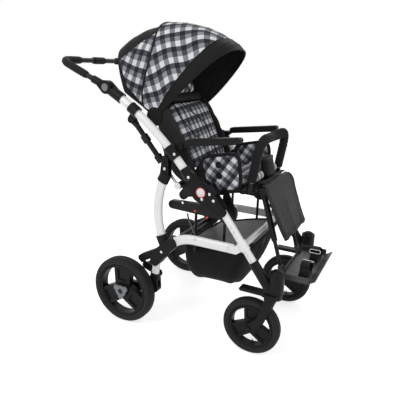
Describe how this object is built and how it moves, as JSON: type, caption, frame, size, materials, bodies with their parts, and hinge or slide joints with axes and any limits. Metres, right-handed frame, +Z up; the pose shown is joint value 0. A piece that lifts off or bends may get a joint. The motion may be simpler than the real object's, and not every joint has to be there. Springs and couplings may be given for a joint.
{
  "type": "special needs buggy",
  "caption": "Folding push buggy for a child with special needs: white tube frame, tilting check-fabric seat with hood, bumper bar, legrest, swivel castors and basket",
  "frame": {"origin": "on the ground under the middle of the object's length and width", "axes": "+X forward (the way the child faces), +Y to the child's left, +Z up"},
  "size_m": [1.1557, 0.644, 1.28],
  "materials": {
    "white_paint": "gloss powder coat",
    "black_plastic": "satin moulded",
    "black_metal": "satin powder coat",
    "grey_plastic": "satin moulded",
    "bright_steel": "bright",
    "grey_plate": "dark grey sheet",
    "tyre": "fine tread",
    "foam": "foam skin",
    "check_fabric": "woven check",
    "black_fabric": "woven"
  },
  "bodies": {
    "chassis": {"front_tubes": "white_paint", "front_cross_member": "white_paint", "hub_cheeks": "black_plastic", "caster_heads": "black_plastic", "seat_carriers": "black_metal", "basket": "black_fabric", "frame_screws": "bright_steel"},
    "fold_slider": {"fold_sliders": "black_plastic"},
    "upper_frame": {"upper_tubes": "white_paint", "hub_tongues": "black_plastic", "tube_collars": "black_plastic", "handle_sockets": "black_plastic"},
    "handle": {"handle_bar": "black_metal", "handle_grips": "foam", "handle_knuckles": "black_plastic"},
    "button_left": {"handle_button_left": "grey_plastic"},
    "button_right": {"handle_button_right": "grey_plastic"},
    "rear_legs": {"rear_leg_tubes": "white_paint", "rear_leg_sockets": "black_plastic"},
    "rear_frame": {"arch_tubes": "white_paint", "rear_brackets": "black_plastic", "rear_stubs": "white_paint"},
    "swing_left": {"swing_arm_left": "black_metal"},
    "swing_right": {"swing_arm_right": "black_metal"},
    "rear_wheel_left": {"rear_tyre_left": "tyre", "rear_rim_left": "black_plastic", "rear_hubcap_left": "grey_plastic"},
    "rear_wheel_right": {"rear_tyre_right": "tyre", "rear_rim_right": "black_plastic", "rear_hubcap_right": "grey_plastic"},
    "brake": {"brake_pedal": "black_plastic"},
    "fork_left_body": {"fork_left": "black_plastic"},
    "fork_right_body": {"fork_right": "black_plastic"},
    "lock_left": {"swivel_lock_left": "black_plastic"},
    "lock_right": {"swivel_lock_right": "black_plastic"},
    "front_wheel_left": {"front_tyre_left": "tyre", "front_rim_left": "black_plastic"},
    "front_wheel_right": {"front_tyre_right": "tyre", "front_rim_right": "black_plastic"},
    "seat": {"seat_frame": "black_metal", "seat_cushion": "check_fabric", "side_panels": "check_fabric", "pommel": "black_fabric"},
    "strut_tube": {"strut_cylinders": "black_metal"},
    "strut_rod": {"strut_rods": "bright_steel"},
    "back": {"back_frame": "black_metal", "back_cushion": "check_fabric", "headrest": "check_fabric", "hood_rear": "check_fabric"},
    "hood": {"hood_front": "check_fabric", "hood_visor": "black_fabric"},
    "arm_left": {"armrest_left": "foam"},
    "arm_right": {"armrest_right": "foam"},
    "bumper": {"bumper_bar": "bright_steel", "bumper_sleeve": "black_fabric"},
    "legrest": {"legrest_frame": "black_metal", "calf_pad": "black_fabric"},
    "foot_stem": {"foot_slide": "black_metal"},
    "foot": {"footplate": "grey_plate", "foot_straps": "black_fabric"}
  },
  "joints": [
    {"name": "frame_fold", "type": "hinge", "parent": "chassis", "child": "upper_frame", "pos_m": [0.12728, 0, 0.645], "axis": [0, 1, 0], "range_deg": [0, 60]},
    {"name": "rear_leg_swing", "type": "hinge", "parent": "upper_frame", "child": "rear_legs", "pos_m": [-0.0365, 0, 0.75376], "axis": [0, 1, 0], "range_deg": [-34, 0]},
    {"name": "arch_swing", "type": "hinge", "parent": "chassis", "child": "rear_frame", "pos_m": [0.28016, 0, 0.43215], "axis": [0, 1, 0], "range_deg": [0, 25]},
    {"name": "fold_release", "type": "slide", "parent": "chassis", "child": "fold_slider", "axis": [0.6458, 0, -0.7635], "range_m": [0, 0.008]},
    {"name": "handle_angle", "type": "hinge", "parent": "upper_frame", "child": "handle", "pos_m": [-0.32069, 0, 1.01696], "axis": [0, 1, 0], "range_deg": [-20, 60]},
    {"name": "handle_button_left_push", "type": "slide", "parent": "handle", "child": "button_left", "axis": [0, -1, 0], "range_m": [0, 0.005], "stiffness_N_per_m": 400, "springref_m": -0.01},
    {"name": "handle_button_right_push", "type": "slide", "parent": "handle", "child": "button_right", "axis": [0, 1, 0], "range_m": [0, 0.005], "stiffness_N_per_m": 400, "springref_m": -0.01},
    {"name": "swing_arm_left_travel", "type": "hinge", "parent": "rear_frame", "child": "swing_left", "pos_m": [-0.08814, 0.245, 0.17015], "axis": [0, 1, 0], "range_deg": [0, 4], "stiffness_Nm_per_rad": 90, "springref_deg": -17.19},
    {"name": "rear_wheel_left_spin", "type": "hinge", "parent": "swing_left", "child": "rear_wheel_left", "pos_m": [-0.22572, 0.29, 0.15], "axis": [0, 1, 0], "continuous": true},
    {"name": "swing_arm_right_travel", "type": "hinge", "parent": "rear_frame", "child": "swing_right", "pos_m": [-0.08814, -0.245, 0.17015], "axis": [0, 1, 0], "range_deg": [0, 4], "stiffness_Nm_per_rad": 90, "springref_deg": -17.19},
    {"name": "rear_wheel_right_spin", "type": "hinge", "parent": "swing_right", "child": "rear_wheel_right", "pos_m": [-0.22572, -0.29, 0.15], "axis": [0, 1, 0], "continuous": true},
    {"name": "brake_press", "type": "hinge", "parent": "rear_frame", "child": "brake", "pos_m": [-0.15972, 0, 0.25], "axis": [0, -1, 0], "range_deg": [0, 20]},
    {"name": "caster_left_swivel", "type": "hinge", "parent": "chassis", "child": "fork_left_body", "pos_m": [0.44787, 0.236, 0.28558], "axis": [0, 0, 1], "continuous": true},
    {"name": "front_wheel_left_spin", "type": "hinge", "parent": "fork_left_body", "child": "front_wheel_left", "pos_m": [0.35987, 0.236, 0.119], "axis": [0, 1, 0], "continuous": true},
    {"name": "swivel_lock_left_press", "type": "hinge", "parent": "fork_left_body", "child": "lock_left", "pos_m": [0.40637, 0.236, 0.27408], "axis": [0, -1, 0], "range_deg": [0, 8]},
    {"name": "caster_right_swivel", "type": "hinge", "parent": "chassis", "child": "fork_right_body", "pos_m": [0.44787, -0.236, 0.28558], "axis": [0, 0, 1], "continuous": true},
    {"name": "front_wheel_right_spin", "type": "hinge", "parent": "fork_right_body", "child": "front_wheel_right", "pos_m": [0.35987, -0.236, 0.119], "axis": [0, 1, 0], "continuous": true},
    {"name": "swivel_lock_right_press", "type": "hinge", "parent": "fork_right_body", "child": "lock_right", "pos_m": [0.40637, -0.236, 0.27408], "axis": [0, -1, 0], "range_deg": [0, 8]},
    {"name": "seat_tilt", "type": "hinge", "parent": "chassis", "child": "seat", "pos_m": [0.21528, 0, 0.553], "axis": [0, -1, 0], "range_deg": [0, 15]},
    {"name": "strut_swing", "type": "hinge", "parent": "upper_frame", "child": "strut_tube", "pos_m": [-0.21837, 0, 0.89205], "axis": [0, -1, 0], "range_deg": [-9, 9]},
    {"name": "strut_slide", "type": "slide", "parent": "strut_tube", "child": "strut_rod", "axis": [0.6539, 0, -0.7565], "range_m": [-0.005, 0.05]},
    {"name": "back_recline", "type": "hinge", "parent": "seat", "child": "back", "pos_m": [0.0327, 0, 0.63278], "axis": [0, -1, 0], "range_deg": [-5, 20]},
    {"name": "hood_fold", "type": "hinge", "parent": "back", "child": "hood", "pos_m": [-0.125, 0, 0.90767], "axis": [0, -1, 0], "range_deg": [0, 55]},
    {"name": "armrest_left_lift", "type": "hinge", "parent": "upper_frame", "child": "arm_left", "pos_m": [0.01404, 0.2124, 0.80219], "axis": [0, -1, 0], "range_deg": [0, 85]},
    {"name": "armrest_right_lift", "type": "hinge", "parent": "upper_frame", "child": "arm_right", "pos_m": [0.01404, -0.2124, 0.80219], "axis": [0, -1, 0], "range_deg": [0, 85]},
    {"name": "bumper_pull", "type": "slide", "parent": "seat", "child": "bumper", "axis": [0.1564, 0, 0.9877], "range_m": [0, 0.05]},
    {"name": "legrest_raise", "type": "hinge", "parent": "seat", "child": "legrest", "pos_m": [0.33067, 0, 0.645], "axis": [0, -1, 0], "range_deg": [0, 50]},
    {"name": "footrest_height", "type": "slide", "parent": "legrest", "child": "foot_stem", "axis": [-0.3007, 0, 0.9537], "range_m": [0, 0.05]},
    {"name": "footplate_angle", "type": "hinge", "parent": "foot_stem", "child": "foot", "pos_m": [0.4263, 0, 0.34172], "axis": [0, -1, 0], "range_deg": [0, 38]}
  ],
  "couplings": [
    {"joint": "rear_leg_swing", "follows": "frame_fold", "ratio": -0.56},
    {"joint": "arch_swing", "follows": "frame_fold", "ratio": 0.41},
    {"joint": "strut_swing", "follows": "seat_tilt", "ratio": -0.53},
    {"joint": "strut_slide", "follows": "seat_tilt", "m_per_rad": 0.137}
  ]
}
